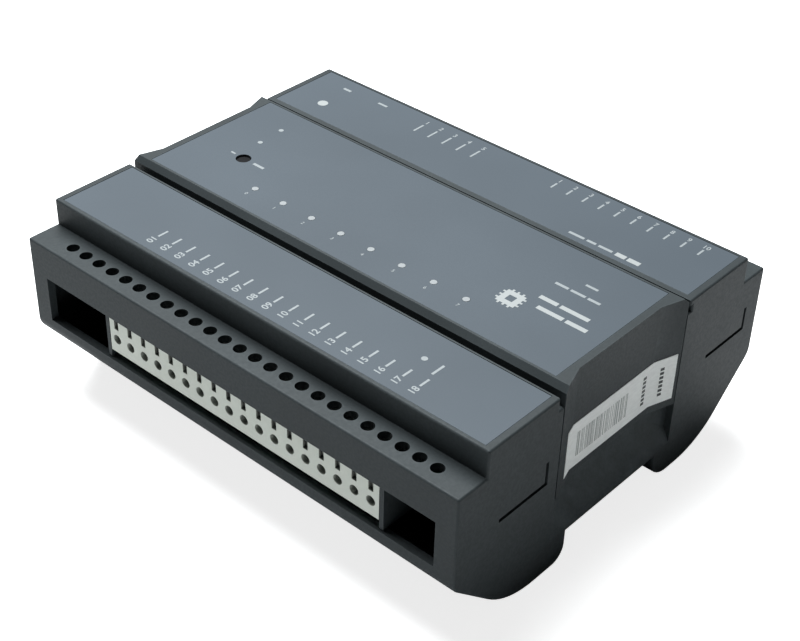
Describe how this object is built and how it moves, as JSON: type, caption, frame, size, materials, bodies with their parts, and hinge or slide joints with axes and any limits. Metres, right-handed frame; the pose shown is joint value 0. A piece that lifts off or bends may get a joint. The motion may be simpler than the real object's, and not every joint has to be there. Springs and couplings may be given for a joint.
{
  "type": "rail-mounted programmable controller",
  "caption": "Rail-mounted controller module in a stepped grey housing with screw-terminal windows front and rear, a raised indicator cover and a spring-latched rail channel.",
  "frame": {"origin": "middle of the footprint, on the plane of the feet", "axes": "+X along the terminal rows, +Y from the front terminals to the rear ones, +Z from the feet up to the cover"},
  "size_m": [0.144, 0.12, 0.0548],
  "materials": {
    "housing_plastic": "fine moulded texture, charcoal grey",
    "base_plastic": "fine moulded texture, darker charcoal",
    "cover_plastic": "fine moulded texture, charcoal grey",
    "printed_film": "satin printed polyester, blue-grey",
    "paper_label": "matt white label stock",
    "latch_plastic": "moulded black",
    "spring_steel": "drawn wire",
    "terminal_plastic": "moulded off-white with a green tint",
    "zinc_steel": "zinc plated",
    "nickel_brass": "nickel plated",
    "tinned_copper": "tin plated",
    "circuit_board": "green solder mask",
    "connector_plastic": "moulded black",
    "led_epoxy": "clear epoxy",
    "clear_guide": "frosted clear acrylic",
    "button_plastic": "moulded black",
    "relay_case": "moulded blue",
    "chip_epoxy": "black moulding compound",
    "capacitor_sleeve": "shrunk sleeve",
    "ferrite": "dark ferrite",
    "crystal_can": "drawn metal can",
    "ceramic_chip": "fired ceramic",
    "fuse_glass": "clear glass tube"
  },
  "bodies": {
    "housing": {"base_housing": "base_plastic", "board_header": "connector_plastic", "board_screws": "zinc_steel", "board_socket": "connector_plastic", "board_spacers": "nickel_brass", "bulk_capacitors": "capacitor_sleeve", "bus_transceiver": "chip_epoxy", "centre_cover": "cover_plastic", "centre_film": "printed_film", "ceramic_capacitors": "ceramic_chip", "channel_leds": "led_epoxy", "crystal": "crystal_can", "front_film": "printed_film", "front_terminal_block": "terminal_plastic", "front_terminal_clamp_screws": "zinc_steel", "front_terminal_contacts": "tinned_copper", "fuse": "fuse_glass", "fuse_clips": "tinned_copper", "header_pins": "tinned_copper", "housing_screws": "zinc_steel", "indicator_pcb": "circuit_board", "input_optocouplers": "chip_epoxy", "latch_spring_left": "spring_steel", "latch_spring_right": "spring_steel", "light_pipes": "clear_guide", "main_pcb": "circuit_board", "memory_chip": "chip_epoxy", "output_relays": "relay_case", "power_inductor": "ferrite", "processor_chip": "chip_epoxy", "rear_film": "printed_film", "rear_io_terminal_block": "terminal_plastic", "rear_io_terminal_clamp_screws": "zinc_steel", "rear_io_terminal_contacts": "tinned_copper", "rear_power_terminal_block": "terminal_plastic", "rear_power_terminal_clamp_screws": "zinc_steel", "rear_power_terminal_contacts": "tinned_copper", "resistor_row": "ceramic_chip", "side_label": "paper_label", "tact_switch": "connector_plastic", "top_housing": "housing_plastic", "voltage_regulator": "chip_epoxy"},
    "left_latch": {"din_latch_left": "latch_plastic"},
    "right_latch": {"din_latch_right": "latch_plastic"},
    "button": {"reset_button": "button_plastic", "switch_plunger": "button_plastic"},
    "front_clamps": {"front_terminal_clamp_cages": "nickel_brass"},
    "rear_io_clamps": {"rear_io_terminal_clamp_cages": "nickel_brass"},
    "rear_power_clamps": {"rear_power_terminal_clamp_cages": "nickel_brass"}
  },
  "joints": [
    {"name": "left_latch_slide", "type": "slide", "parent": "housing", "child": "left_latch", "axis": [0, 1, 0], "range_m": [0, 0.004], "stiffness_N_per_m": 250, "springref_m": -0.012, "deforming": ["latch_spring_left"]},
    {"name": "right_latch_slide", "type": "slide", "parent": "housing", "child": "right_latch", "axis": [0, 1, 0], "range_m": [0, 0.004], "stiffness_N_per_m": 250, "springref_m": -0.012, "deforming": ["latch_spring_right"]},
    {"name": "reset_button_press", "type": "slide", "parent": "housing", "child": "button", "axis": [0, 0, -1], "range_m": [0, 0.0008], "stiffness_N_per_m": 40, "springref_m": -0.004},
    {"name": "front_clamps_lift", "type": "slide", "parent": "housing", "child": "front_clamps", "axis": [0, 0, 1], "range_m": [0, 0.0017]},
    {"name": "rear_io_clamps_lift", "type": "slide", "parent": "housing", "child": "rear_io_clamps", "axis": [0, 0, 1], "range_m": [0, 0.0017]},
    {"name": "rear_power_clamps_lift", "type": "slide", "parent": "housing", "child": "rear_power_clamps", "axis": [0, 0, 1], "range_m": [0, 0.0017]}
  ]
}
